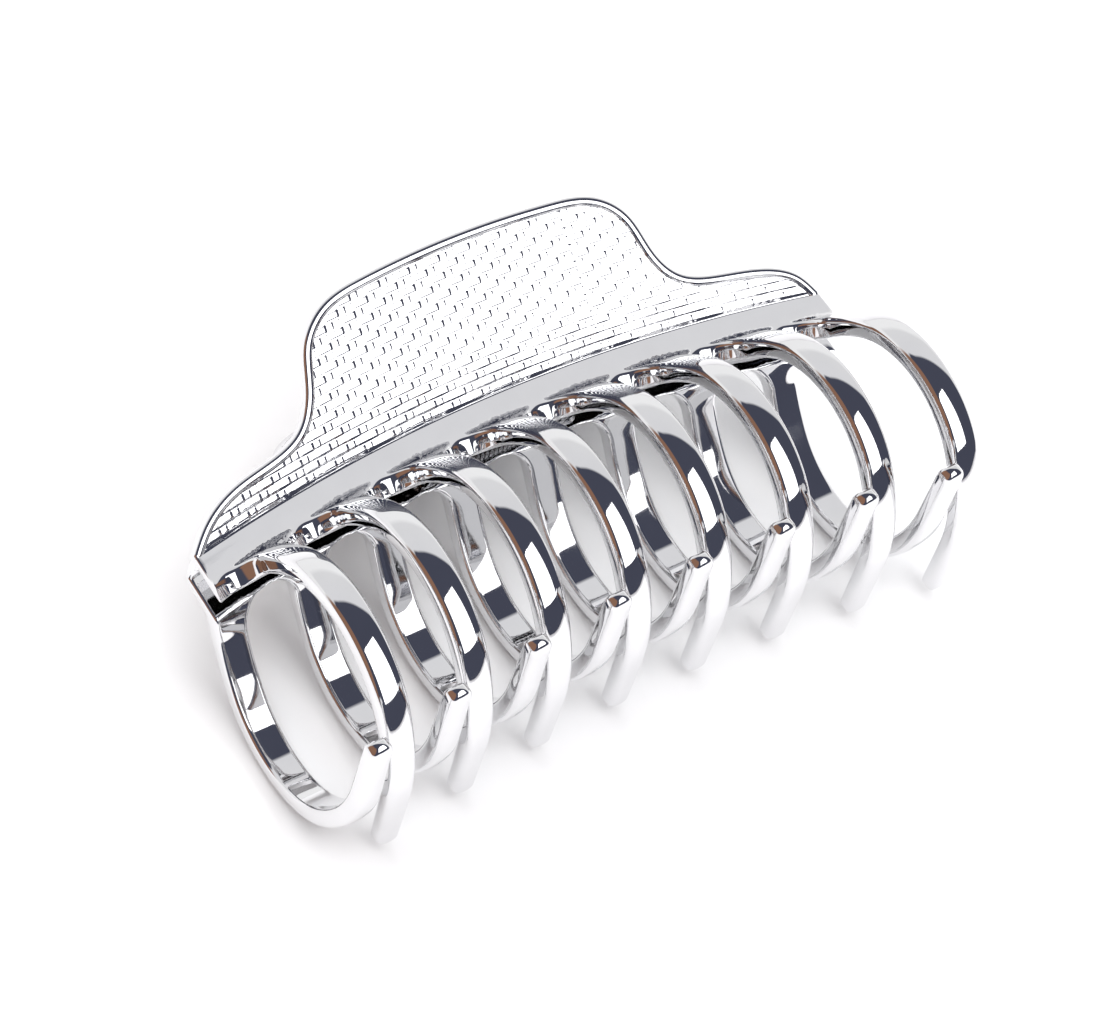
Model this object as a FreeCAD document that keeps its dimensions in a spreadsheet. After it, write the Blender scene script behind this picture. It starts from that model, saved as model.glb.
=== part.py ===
"""Large claw hair clip: two interleaving moulded jaws, a hinge pin and a torsion spring.

Frame: the closed clip lies on its back jaw, as it lies on a table. +Z is up, X runs along
the row of teeth, the finger wings point to +Y and the teeth to -Y. The origin is on the
table, under the middle of the clip's box. Everything is first shaped in the hinge frame,
where the hinge axis is the X axis, and is then moved up by its Placement.
"""
import FreeCAD, Part
import math
import os
import Sketcher

V = FreeCAD.Vector

# Driving dimensions, in millimetres and degrees.
SIZES = [
    ("pitch", 14.0, "distance between neighbouring teeth of one jaw"),
    ("tooth_count", 8, "teeth on each jaw"),
    ("stagger", 3.5, "how far each jaw's row is shifted along X, so the rows interleave"),
    ("half_length", 54.7, "half the overall length of the clip"),
    ("half_height", 18.9, "reach of each jaw from the plane through the hinge"),
    ("row_bow", 4.7, "drop of the tooth row at the reference span, towards the tips"),
    ("blade_bow", 4.7, "drop of wing and spine at the reference span"),
    ("bow_span", 50.0, "distance from the middle at which the bows are measured"),
    ("spine_face", 3.6, "outer face of the spine, from the middle plane, at the wing's foot"),
    ("spine_neck", 3.45, "outer face of the spine at its narrowest"),
    ("spine_inner", 2.0, "inner face of the spine, from the middle plane"),
    ("wing_foot", 2.4, "height of the wing's foot over the hinge axis"),
    ("wing_flare", 39.0, "angle between the wing and the middle plane"),
    ("wing_length", 24.3, "length of the wing up its slope, in the middle"),
    ("wing_wall", 1.8, "thickness of the wing, rim included"),
    ("rim_width", 1.4, "width of the raised rim round the wing's panel"),
    ("rim_height", 0.45, "how far the rim stands over the panel"),
    ("panel_foot", 0.6, "distance of the panel's lower edge from the wing's foot"),
    ("root_drop", 3.2, "depth of the tooth line's start under the hinge axis"),
    ("root_reach", 3.13, "distance of that start from the middle plane"),
    ("root_dip", 34.0, "downward angle at which a tooth leaves the spine"),
    ("root_wall", 3.3, "thickness of the spine where the teeth leave it"),
    ("lead_line", 4.6, "straight start of a tooth, inside the spine's lip"),
    ("crown_radius", 37.0, "first bend of a tooth"),
    ("crown_angle", 12.0, "turn of the first bend"),
    ("belly_radius", 16.4, "main bend of a tooth"),
    ("belly_angle", 96.0, "turn of the main bend"),
    ("toe_radius", 27.0, "last bend of a tooth"),
    ("toe_angle", 38.0, "turn of the last bend"),
    ("tip_length", 12.0, "straight end of a tooth"),
    ("tooth_width", 4.8, "width of a tooth along X"),
    ("tooth_thickness", 3.2, "thickness of a tooth across its curve"),
    ("tip_width", 3.6, "width of a tooth at its tip"),
    ("tip_thickness", 2.7, "thickness of a tooth at its tip"),
    ("gap_radius", 4.5, "rounded head of the gap between two teeth"),
    ("pin_radius", 0.75, "hinge pin"),
    ("pin_play", 0.05, "radial running clearance of the pin in the front jaw"),
    ("pin_head_radius", 1.3, "upset head of the pin"),
    ("pin_head_length", 0.7, "length of the pin's head"),
    ("knuckle_radius", 1.8, "hinge knuckle"),
    ("knuckle_width", 3.2, "length of a knuckle along the pin"),
    ("knuckle_inner", 6.3, "inner end of the inner knuckle"),
    ("knuckle_outer", 9.7, "inner end of the outer knuckle"),
    ("wire_radius", 0.35, "spring wire"),
    ("coil_radius", 1.25, "mean radius of the spring's coil"),
    ("coil_pitch", 0.8, "spacing of the spring's turns"),
    ("coil_turns", 13, "whole turns before the two legs' share is taken off"),
    ("leg_length", 15.0, "length of each spring leg"),
    ("leg_lift", 1.2, "angle by which a leg leans out to meet its wing"),
    ("seat_width", 0.7, "width of the ribs beside a spring leg"),
    ("seat_height", 0.9, "height of those ribs over the wing's inner face"),
    ("seat_length", 6.0, "length of those ribs"),
    ("seat_start", 8.0, "distance of those ribs up the wing from its foot"),
    ("seat_gap", 0.6, "free space between a rib and the middle of the leg"),
    ("hinge_back", 12.2, "hinge axis behind the middle of the clip's box"),
    ("start_thickness", 2.5, "thickness of a tooth's first stretch, inside the spine's lip"),
    ("wall_share", 0.45, "part of a tooth's thickness that has straight side walls"),
    ("belly_slimming", 0.1, "share of the taper reached at the end of the main bend"),
    ("toe_slimming", 0.7, "share of the taper reached at the end of the last bend"),
    ("pin_tail", 0.4, "how far the pin's plain end stands out of its knuckle"),
    ("pin_chamfer", 0.25, "chamfer on both ends of the pin"),
    ("web_share", 1.5, "width of a knuckle's web, in knuckle radii"),
    ("web_sink", 0.4, "depth to which a web is sunk in the spine"),
    ("rib_sink", 0.3, "depth to which a seat rib is sunk in the wing"),
]

# The wing's free edge from its shoulder to its end: shares of the half length and of the
# wing's length up its slope.
RIM_SHARES = [(0.30, 0.967), (0.435, 0.896), (0.515, 0.72), (0.555, 0.45), (0.61, 0.265),
              (0.71, 0.175), (0.85, 0.105), (0.95, -0.02), (1.0, -0.16)]


def make_sheet(doc):
    """Put every driving dimension in a spreadsheet cell that carries its name."""
    sheet = doc.addObject("Spreadsheet::Sheet", "Sizes")
    for row, (alias, value, meaning) in enumerate(SIZES, start=1):
        sheet.set(f"A{row}", alias)
        sheet.set(f"B{row}", str(value))
        sheet.set(f"C{row}", meaning)
        sheet.setAlias(f"B{row}", alias)
    doc.recompute()
    return sheet


def yz(y, z):
    """A point of the YZ plane."""
    return V(0, y, z)


def in_sketch(point):
    """The same point in a sketch that lies on the YZ plane."""
    return V(point.y, point.z, 0)


def add_edges(sketch, edges):
    """Draw a chain of ("line", p, q) and ("arc", p, middle, q) edges, joined end to end."""
    for edge in edges:
        if edge[0] == "line":
            sketch.addGeometry(Part.LineSegment(edge[1], edge[2]), False)
        else:
            sketch.addGeometry(Part.Arc(edge[1], edge[2], edge[3]), False)
    ends = []
    for geometry in sketch.Geometry:
        ends.append((geometry.StartPoint, geometry.EndPoint))
    count = len(ends)
    for index in range(count):
        other = (index + 1) % count
        if other == 0 and (edges[-1][-1] - edges[0][1]).Length > 1e-6:
            continue
        here = nearest_end(ends[index], edges[index][-1])
        there = nearest_end(ends[other], edges[index][-1])
        sketch.addConstraint(Sketcher.Constraint("Coincident", index, here, other, there))


def nearest_end(pair, point):
    """1 when the geometry's start is at the point, 2 when its end is."""
    if (pair[0] - point).Length < (pair[1] - point).Length:
        return 1
    return 2


def closed_chain(points):
    """Straight edges through the points and back to the first."""
    return [("line", point, points[(index + 1) % len(points)]) for index, point in enumerate(points)]


def wing_axes(size):
    """Foot of the wing, direction up its outer face, and outward normal of that face."""
    flare = math.radians(size("wing_flare"))
    up = yz(math.cos(flare), math.sin(flare))
    normal = yz(-math.sin(flare), math.cos(flare))
    return yz(size("wing_foot"), size("spine_face")), up, normal


def root_axes(size):
    """Start of a tooth's middle line, its direction, and the outward normal there."""
    dip = math.radians(size("root_dip"))
    along = yz(-math.sin(dip), math.cos(dip))
    normal = yz(math.cos(dip), math.sin(dip))
    return yz(-size("root_drop"), size("root_reach")), along, normal


def row_drop(size, x):
    """How far the tooth row hangs towards the tips at a distance x from the middle."""
    return size("row_bow") * (x / size("bow_span")) ** 2


def bow_centre(size):
    """Foot of the upright axis about which wing and spine are turned, so that they bow along X."""
    radius = size("bow_span") ** 2 / (2 * size("blade_bow"))
    return yz(-radius, size("spine_face"))


def blade_outline(size):
    """Cross-section of wing, spine and tooth roots, as one closed chain."""
    foot, up, out = wing_axes(size)
    start, along, normal = root_axes(size)
    half_root = size("root_wall") / 2
    inner = size("spine_inner")
    top_outer = foot + up * size("wing_length")
    top_inner = top_outer - out * size("wing_wall")
    root_top = start + normal * half_root
    lip_outer = root_top + along * size("gap_radius")
    lip_inner = lip_outer - normal * size("root_wall")
    root_under = start - normal * half_root
    under = root_under - along * ((root_under.z - inner) / along.z)
    wing_under = foot - out * size("wing_wall")
    bend = wing_under - up * ((wing_under.z - inner) / up.z)
    neck = yz((foot.y + root_top.y) / 2, size("spine_neck"))
    points = [top_outer, foot, neck, root_top, lip_outer, lip_inner, under, bend, top_inner]
    a, b, c, d, e, f, g, i, j = [in_sketch(point) for point in points]
    return closed_chain([a, b, c, d, e, f, g, i, j])


def turned_blade(doc, size, name, outline):
    """Turn a closed outline of the YZ plane about the bow axis, to both sides of it."""
    body = doc.addObject("PartDesign::Body", name)
    sketch = body.newObject("Sketcher::SketchObject", name + "_section")
    plane = [item for item in body.Origin.OriginFeatures if item.Role == "YZ_Plane"][0]
    sketch.AttachmentSupport = [(plane, "")]
    sketch.MapMode = "FlatFace"
    add_edges(sketch, outline)
    centre = bow_centre(size)
    sketch.addGeometry(
        Part.LineSegment(in_sketch(centre), in_sketch(centre + yz(0, size("bow_span")))), True)
    doc.recompute()
    turn = body.newObject("PartDesign::Revolution", name + "_turn")
    turn.Profile = sketch
    turn.ReferenceAxis = (sketch, ["Axis0"])
    turn.Midplane = True
    turn.setExpression(
        "Angle", "2.1 * asin(Sizes.half_length * 2 * Sizes.blade_bow / Sizes.bow_span ^ 2)")
    doc.recompute()
    return body


def tooth_line(size):
    """Middle line of a tooth: its edges, and (point, direction) at each joint and at the end."""
    point, along, normal = root_axes(size)
    heading = math.atan2(along.z, along.y)
    edges = []
    stations = [(point, heading)]
    bends = [(size("lead_line"), None, None),
             (None, size("crown_radius"), size("crown_angle")),
             (None, size("belly_radius"), size("belly_angle")),
             (None, size("toe_radius"), size("toe_angle")),
             (size("tip_length"), None, None)]
    for length, radius, angle in bends:
        if radius is None:
            end = point + yz(math.cos(heading), math.sin(heading)) * length
            edges.append(("line", in_sketch(point), in_sketch(end)))
        else:
            turn = math.radians(angle)
            centre = point + yz(-math.sin(heading), math.cos(heading)) * radius
            middle = centre + yz(math.sin(heading + turn / 2), -math.cos(heading + turn / 2)) * radius
            end = centre + yz(math.sin(heading + turn), -math.cos(heading + turn)) * radius
            edges.append(("arc", in_sketch(point), in_sketch(middle), in_sketch(end)))
            heading += turn
        point = end
        stations.append((point, heading))
    return edges, stations


def tooth_section(width, thickness, wall_share):
    """Cross-section of a tooth: flat inner face, straight sides, convex outer face."""
    half = width / 2
    inner = -thickness / 2
    shoulder = inner + thickness * wall_share
    left_low = V(-half, inner, 0)
    right_low = V(half, inner, 0)
    left_high = V(-half, shoulder, 0)
    right_high = V(half, shoulder, 0)
    crest = V(0, thickness / 2, 0)
    return [("line", left_low, right_low), ("line", right_low, right_high),
            ("arc", right_high, crest, left_high), ("line", left_high, left_low)]


def across(station):
    """Plane square to the tooth line at a station, its second axis pointing outward."""
    point, heading = station
    side = yz(math.sin(heading), -math.cos(heading))
    along = yz(math.cos(heading), math.sin(heading))
    return FreeCAD.Placement(point, FreeCAD.Rotation(V(1, 0, 0), side, along, "XYZ"))


def make_tooth(doc, size):
    """One tooth in the middle plane: a section swept down its line, slimmer at the tip."""
    body = doc.addObject("PartDesign::Body", "tooth")
    edges, stations = tooth_line(size)
    line = body.newObject("Sketcher::SketchObject", "tooth_line")
    plane = [item for item in body.Origin.OriginFeatures if item.Role == "YZ_Plane"][0]
    line.AttachmentSupport = [(plane, "")]
    line.MapMode = "FlatFace"
    for edge in edges:
        if edge[0] == "line":
            line.addGeometry(Part.LineSegment(edge[1], edge[2]), False)
        else:
            line.addGeometry(Part.Arc(edge[1], edge[2], edge[3]), False)
    doc.recompute()
    sections = []
    # The first stretch is thinner than the spine's lip, so that it is wholly inside it.
    thin_root = size("start_thickness") / size("tooth_thickness")
    belly = size("belly_slimming")
    toe = size("toe_slimming")
    slimming = [("root", 0, 0.0, thin_root), ("lead", 1, 0.0, thin_root), ("crown", 2, 0.0, 1.0),
                ("belly", 3, belly, 1.0), ("toe", 4, toe, 1.0), ("tip", 5, 1.0, 1.0)]
    for name, index, share, thinning in slimming:
        width = size("tooth_width") * (1 - share) + size("tip_width") * share
        thickness = size("tooth_thickness") * (1 - share) + size("tip_thickness") * share
        thickness *= thinning
        sketch = body.newObject("Sketcher::SketchObject", "tooth_" + name)
        sketch.Placement = across(stations[index])
        add_edges(sketch, tooth_section(width, thickness, size("wall_share")))
        sections.append(sketch)
    doc.recompute()
    pipe = body.newObject("PartDesign::AdditivePipe", "tooth_pipe")
    pipe.Profile = sections[0]
    pipe.Spine = (line, [f"Edge{number}" for number in range(1, len(edges) + 1)])
    pipe.Sections = sections[1:]
    pipe.Transformation = "Multisection"
    pipe.Mode = "Frenet"
    doc.recompute()
    return body


def wing_frame(size):
    """Placement of the wing's outer face: its X along the clip, its Y up the wing."""
    foot, up, out = wing_axes(size)
    return FreeCAD.Placement(foot, FreeCAD.Rotation(V(1, 0, 0), up, out, "XYZ"))


def rim_curve(size):
    """The wing's free edge, from its left end over the top to its right end."""
    end = size("half_length")
    top = size("wing_length")
    right_half = [(x * end, y * top) for x, y in RIM_SHARES]
    left_half = [(-x, y) for x, y in reversed(right_half)]
    curve = Part.BSplineCurve()
    curve.interpolate([V(x, y, 0) for x, y in left_half + [(0, top)] + right_half])
    return curve


def inset_curve(curve, inset, count=24):
    """A curve that runs inside another at a set distance."""
    points = []
    for step in range(count + 1):
        share = step / count
        at = curve.FirstParameter + (curve.LastParameter - curve.FirstParameter) * share
        along = curve.tangent(at)[0]
        points.append(curve.value(at) + V(along.y, -along.x, 0) * inset)
    inner = Part.BSplineCurve()
    inner.interpolate(points)
    return inner


def make_wing_outline(doc, size, name, inset):
    """Hat-shaped outline of the wing, drawn on its outer face and closed below the spine."""
    skirt = -size("half_length") / 2
    curve = rim_curve(size)
    if inset:
        curve = inset_curve(curve, inset)
    left = curve.value(curve.FirstParameter)
    right = curve.value(curve.LastParameter)
    sketch = doc.addObject("Sketcher::SketchObject", name)
    sketch.Placement = wing_frame(size)
    sketch.addGeometry(curve, False)
    low_left = V(left.x, skirt, 0)
    low_right = V(right.x, skirt, 0)
    sketch.addGeometry(Part.LineSegment(right, low_right), False)
    sketch.addGeometry(Part.LineSegment(low_right, low_left), False)
    sketch.addGeometry(Part.LineSegment(low_left, left), False)
    return sketch


def extruded(doc, name, sketch, ahead, behind):
    """A closed sketch pushed out to both sides of its own plane."""
    block = doc.addObject("Part::Extrusion", name)
    block.Base = sketch
    block.DirMode = "Normal"
    block.LengthFwd = ahead
    block.LengthRev = behind
    block.Solid = True
    return block


def boolean(doc, kind, name, shapes):
    """A Part boolean of two or more objects."""
    result = doc.addObject("Part::" + kind, name)
    if kind in ("Cut", "Common"):
        result.Base, result.Tool = shapes
    else:
        result.Shapes = shapes
    return result


def make_panel_recess(doc, size):
    """Shallow recess of the wing's panel: everything inside the rim, above the panel."""
    foot, up, out = wing_axes(size)
    start = foot + up * size("panel_foot")
    floor = start - out * size("rim_height")
    over = start + out * size("wing_wall")
    reach = up * (size("wing_length") + size("rim_width"))
    corners = [floor, floor + reach, over + reach, over]
    a, b, c, d = [in_sketch(corner) for corner in corners]
    slab = turned_blade(doc, size, "panel_slab",
                        closed_chain([a, b, c, d]))
    inset = make_wing_outline(doc, size, "panel_outline", size("rim_width"))
    doc.recompute()
    block = extruded(doc, "panel_block", inset, size("wing_length"), size("wing_length"))
    return boolean(doc, "Common", "panel_recess", [slab, block])


def make_gap_heads(doc, size):
    """Round heads of the gaps between the teeth, each square to the root of the teeth."""
    start, along, normal = root_axes(size)
    heads = []
    for index in range(int(size("tooth_count"))):
        place = index - size("tooth_count") / 2
        x = size("stagger") + size("pitch") * place
        centre = start + along * size("gap_radius") - normal * size("root_wall")
        head = doc.addObject("Part::Cylinder", f"gap_head_{index + 1}")
        head.setExpression("Radius", "Sizes.gap_radius")
        head.setExpression("Height", "2 * Sizes.root_wall")
        base = V(x, centre.y - row_drop(size, x), centre.z)
        head.Placement = FreeCAD.Placement(base, FreeCAD.Rotation(V(0, 0, 1), normal))
        head.setExpression("Placement.Base.x", f"Sizes.stagger + Sizes.pitch * ({place})")
        heads.append(head)
    return boolean(doc, "MultiFuse", "gap_heads", heads)


def place_teeth(doc, size, tooth):
    """The row of teeth: one tooth repeated along X, hung on the bowed spine."""
    row = []
    for index in range(int(size("tooth_count"))):
        place = index - (size("tooth_count") - 1) / 2
        link = doc.addObject("App::Link", f"tooth_{index + 1}")
        link.LinkedObject = tooth
        x = f"(Sizes.stagger + Sizes.pitch * ({place}))"
        link.setExpression("Placement.Base.x", x)
        link.setExpression("Placement.Base.y", f"-Sizes.row_bow * ({x} / Sizes.bow_span) ^ 2")
        row.append(link)
    return row


def make_knuckles(doc, size):
    """Two hinge knuckles with the webs that carry them on the spine."""
    pieces = []
    for name, start in (("outer", "-Sizes.knuckle_outer - Sizes.knuckle_width"),
                        ("inner", "Sizes.knuckle_inner")):
        barrel = doc.addObject("Part::Cylinder", f"knuckle_{name}")
        barrel.setExpression("Radius", "Sizes.knuckle_radius")
        barrel.setExpression("Height", "Sizes.knuckle_width")
        barrel.Placement = FreeCAD.Placement(V(0, 0, 0), FreeCAD.Rotation(V(0, 1, 0), 90))
        barrel.setExpression("Placement.Base.x", start)
        web = doc.addObject("Part::Box", f"knuckle_web_{name}")
        web.setExpression("Length", "Sizes.knuckle_width")
        web.setExpression("Width", "Sizes.web_share * Sizes.knuckle_radius")
        web.setExpression("Height", "Sizes.spine_inner + Sizes.web_sink")
        web.setExpression("Placement.Base.x", start)
        web.setExpression("Placement.Base.y", "-Sizes.web_share / 2 * Sizes.knuckle_radius")
        pieces += [barrel, web]
    return pieces


def make_seat_ribs(doc, size):
    """Pair of ribs on the wing's inner face that keep the spring leg from sliding sideways."""
    foot, up, out = wing_axes(size)
    under = foot - out * (size("wing_wall") + size("seat_height"))
    base = under + up * size("seat_start")
    ribs = []
    for side in (-1, 1):
        rib = doc.addObject("Part::Box", "seat_rib_" + ("left" if side < 0 else "right"))
        rib.setExpression("Length", "Sizes.seat_width")
        rib.setExpression("Width", "Sizes.seat_length")
        rib.setExpression("Height", "Sizes.seat_height + Sizes.rib_sink")
        turn = FreeCAD.Rotation(V(1, 0, 0), up, out, "XYZ")
        rib.Placement = FreeCAD.Placement(base, turn)
        edge = "Sizes.seat_gap" if side > 0 else "-Sizes.seat_gap - Sizes.seat_width"
        rib.setExpression("Placement.Base.x", "-" + coil_half_expression() + " + " + edge)
        ribs.append(rib)
    return ribs


def coil_half_expression():
    """Half the length of the spring's coil between its two legs, for the spreadsheet."""
    return "(Sizes.coil_turns * Sizes.coil_pitch / 2)"


def make_bore(doc, name, radius):
    """A pin hole along the hinge axis, through both knuckles."""
    bore = doc.addObject("Part::Cylinder", name)
    bore.setExpression("Radius", radius)
    bore.setExpression("Height", "2 * (Sizes.knuckle_outer + Sizes.knuckle_width) + 2")
    bore.Placement = FreeCAD.Placement(V(0, 0, 0), FreeCAD.Rotation(V(0, 1, 0), 90))
    bore.setExpression("Placement.Base.x", "-(Sizes.knuckle_outer + Sizes.knuckle_width + 1)")
    return bore


def seat_in_clip(item, turned):
    """Lift a sub-part from the hinge frame to its place; the back jaw is half a turn round."""
    rotation = FreeCAD.Rotation(V(0, 1, 0), 180 if turned else 0)
    item.Placement = FreeCAD.Placement(V(0, 0, 0), rotation).multiply(item.Placement)
    item.setExpression("Placement.Base.y", "Sizes.hinge_back")
    item.setExpression("Placement.Base.z", "Sizes.half_height")


def make_jaws(doc, size):
    """Both jaws come out of one mould shape; only their pin holes differ."""
    blade = turned_blade(doc, size, "blade", blade_outline(size))
    outline = make_wing_outline(doc, size, "wing_outline", 0)
    doc.recompute()
    block = extruded(doc, "outline_block", outline, size("half_length"), size("half_length"))
    trimmed = boolean(doc, "Common", "trimmed_blade", [blade, block])
    panelled = boolean(doc, "Cut", "panelled_blade", [trimmed, make_panel_recess(doc, size)])
    slotted = boolean(doc, "Cut", "slotted_blade", [panelled, make_gap_heads(doc, size)])
    doc.recompute()
    tooth = make_tooth(doc, size)
    pieces = [slotted] + place_teeth(doc, size, tooth)
    pieces += make_knuckles(doc, size) + make_seat_ribs(doc, size)
    jaws = []
    for label, radius, turned in (("front_jaw", "Sizes.pin_radius + Sizes.pin_play", False),
                                  ("back_jaw", "Sizes.pin_radius", True)):
        blank = boolean(doc, "MultiFuse", label + "_blank", pieces)
        bore = make_bore(doc, label + "_bore", radius)
        jaw = boolean(doc, "Cut", label, [blank, bore])
        seat_in_clip(jaw, turned)
        jaws.append(jaw)
    return jaws


def make_pin(doc, size):
    """Steel hinge pin with an upset head on its right end, turned from one half-profile."""
    body = doc.addObject("PartDesign::Body", "hinge_pin")
    sketch = body.newObject("Sketcher::SketchObject", "pin_profile")
    plane = [item for item in body.Origin.OriginFeatures if item.Role == "XY_Plane"][0]
    sketch.AttachmentSupport = [(plane, "")]
    sketch.MapMode = "FlatFace"
    radius = size("pin_radius")
    reach = size("knuckle_outer") + size("knuckle_width")
    tail = -reach - size("pin_tail")
    chamfer = size("pin_chamfer")
    head = size("pin_head_radius")
    crown = reach + size("pin_head_length")
    points = [V(tail, 0, 0), V(tail, radius - chamfer, 0), V(tail + chamfer, radius, 0),
              V(reach, radius, 0), V(reach, head, 0), V(crown - chamfer, head, 0),
              V(crown, head - chamfer, 0), V(crown, 0, 0)]
    add_edges(sketch, closed_chain(points))
    doc.recompute()
    turn = body.newObject("PartDesign::Revolution", "pin_turn")
    turn.Profile = sketch
    turn.ReferenceAxis = (sketch, ["H_Axis"])
    turn.Angle = 360
    doc.recompute()
    seat_in_clip(body, False)
    return body


def make_spring(doc, size):
    """Torsion spring: a close-wound coil round the pin, with one leg up each wing."""
    rise = math.radians(size("wing_flare") + size("leg_lift"))
    leg_up = yz(math.cos(rise), math.sin(rise))
    leaving = yz(math.sin(rise), -math.cos(rise)) * size("coil_radius")
    first = math.atan2(leaving.z, leaving.y)
    turns = size("coil_turns") + 2 * first / (2 * math.pi)
    half = size("coil_turns") * size("coil_pitch") / 2

    coil_line = doc.addObject("Part::Helix", "coil_line")
    coil_line.LocalCoord = "Left-handed"
    coil_line.setExpression("Radius", "Sizes.coil_radius")
    coil_line.Pitch = 2 * half / turns
    coil_line.Height = 2 * half
    coil_line.Placement = FreeCAD.Placement(V(-half, 0, 0), coil_turn(first, leaving))
    doc.recompute()
    wire = doc.addObject("Part::Circle", "wire_section")
    wire.setExpression("Radius", "Sizes.wire_radius")
    begin = coil_line.Shape.Edges[0]
    entry = begin.tangentAt(begin.FirstParameter)
    wire.Placement = FreeCAD.Placement(
        begin.valueAt(begin.FirstParameter), FreeCAD.Rotation(V(0, 0, 1), entry))
    coil = doc.addObject("Part::Sweep", "spring_coil")
    coil.Sections = [wire]
    coil.Spine = (coil_line, ["Edge1"])
    coil.Solid = True
    coil.Frenet = True
    pieces = [coil]
    for side, name in ((-1, "front"), (1, "back")):
        leg = doc.addObject("Part::Cylinder", f"spring_leg_{name}")
        leg.setExpression("Radius", "Sizes.wire_radius")
        leg.setExpression("Height", "Sizes.leg_length")
        base = V(side * half, leaving.y, -side * leaving.z)
        lean = V(0, leg_up.y, -side * leg_up.z)
        leg.Placement = FreeCAD.Placement(base, FreeCAD.Rotation(V(0, 0, 1), lean))
        pieces.append(leg)
    doc.recompute()
    spring = boolean(doc, "MultiFuse", "torsion_spring", pieces)
    seat_in_clip(spring, False)
    return spring


def coil_turn(first, leaving):
    """Turn a helix that climbs +Z from its local X axis so that it climbs +X from a leg's foot."""
    start = V(leaving)
    start.normalize()
    return FreeCAD.Rotation(start, V(1, 0, 0).cross(start), V(1, 0, 0), "ZXY")


def check_document(doc):
    """Stop when any object of the document failed to compute."""
    for item in doc.Objects:
        for word in ("Invalid", "Error"):
            if word in item.State:
                raise RuntimeError(f"{item.Name}: {item.State}")


def export(items):
    """Write each finished sub-part to its own STEP file, after checking its shape."""
    for item in items:
        shape = item.Shape
        if shape.isNull() or not shape.isValid() or len(shape.Solids) != 1:
            raise RuntimeError(f"{item.Label}: shape is not one valid solid")
    os.makedirs("parts", exist_ok=True)
    for item in items:
        item.Shape.exportStep(f"parts/{item.Label}.step")
        box = item.Shape.BoundBox
        print(f"{item.Label}: {item.Shape.Volume:.0f} mm3, "
              f"X {box.XMin:.2f} {box.XMax:.2f}, Y {box.YMin:.2f} {box.YMax:.2f}, "
              f"Z {box.ZMin:.2f} {box.ZMax:.2f}")


def main():
    doc = FreeCAD.newDocument("claw_clip")
    sheet = make_sheet(doc)

    def size(alias):
        return float(sheet.get(alias))

    parts = make_jaws(doc, size)
    parts.append(make_pin(doc, size))
    parts.append(make_spring(doc, size))
    doc.recompute()
    check_document(doc)
    export(parts)


main()
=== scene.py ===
"""Chrome claw hair clip: two interleaving jaws, a hinge pin and a torsion spring, on a white table.

Shapes are worked out in millimetres in the hinge frame: X runs along the teeth, Y towards
the finger wings, Z outwards from the plane between the jaws, and the hinge axis is X.
"""
import math

import bmesh
import bpy
import numpy as np
from mathutils import Matrix, Vector


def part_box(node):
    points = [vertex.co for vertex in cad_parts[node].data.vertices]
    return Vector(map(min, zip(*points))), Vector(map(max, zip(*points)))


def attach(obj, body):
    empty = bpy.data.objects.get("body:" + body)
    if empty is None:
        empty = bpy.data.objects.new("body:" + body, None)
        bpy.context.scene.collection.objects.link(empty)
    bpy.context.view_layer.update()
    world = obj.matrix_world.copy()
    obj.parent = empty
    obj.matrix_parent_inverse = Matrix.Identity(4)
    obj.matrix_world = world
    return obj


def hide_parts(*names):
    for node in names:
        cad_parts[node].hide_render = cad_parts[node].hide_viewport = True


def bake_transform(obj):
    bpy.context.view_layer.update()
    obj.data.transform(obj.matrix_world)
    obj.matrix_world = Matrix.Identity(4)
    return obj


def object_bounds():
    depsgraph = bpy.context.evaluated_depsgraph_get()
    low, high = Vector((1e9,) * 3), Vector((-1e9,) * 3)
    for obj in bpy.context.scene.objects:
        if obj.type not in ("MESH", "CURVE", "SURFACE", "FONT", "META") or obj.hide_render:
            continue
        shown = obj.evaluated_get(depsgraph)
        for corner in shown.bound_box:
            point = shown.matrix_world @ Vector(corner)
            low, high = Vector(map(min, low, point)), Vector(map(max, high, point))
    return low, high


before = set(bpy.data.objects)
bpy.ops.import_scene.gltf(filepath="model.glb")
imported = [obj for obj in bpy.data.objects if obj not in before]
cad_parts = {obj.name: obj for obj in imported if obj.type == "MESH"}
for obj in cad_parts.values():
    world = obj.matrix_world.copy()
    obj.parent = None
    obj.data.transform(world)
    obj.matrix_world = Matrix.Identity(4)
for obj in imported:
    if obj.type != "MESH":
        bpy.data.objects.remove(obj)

cad_low, cad_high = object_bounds()

MM = 0.001
PIN_LOW, PIN_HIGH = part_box("hinge_pin")
HINGE = np.array([0.0, (PIN_LOW.y + PIN_HIGH.y) / 2, (PIN_LOW.z + PIN_HIGH.z) / 2])

# Blade of a jaw: the wing's outer face and the bow of wing and spine along X.
HALF_LENGTH = 54.7
FOOT = np.array([2.4, 3.6])
FLARE = math.radians(39.0)
UP = np.array([math.cos(FLARE), math.sin(FLARE)])
OUT = np.array([-math.sin(FLARE), math.cos(FLARE)])
WING_LENGTH = 24.3
WING_WALL = 1.8
BOW_SPAN = 50.0
BOW_DROP = 4.7
BOW_RADIUS = BOW_SPAN ** 2 / (2 * BOW_DROP)
SPINE_INNER = 2.0

# Rim of the wing, as shares of half the length and of the wing's length.
RIM_POINTS = [(0.30, 0.967), (0.435, 0.896), (0.515, 0.72), (0.555, 0.45), (0.61, 0.265),
              (0.71, 0.175), (0.85, 0.105), (0.95, -0.02), (1.0, -0.16)]
RIM_COUNT = 420
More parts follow.
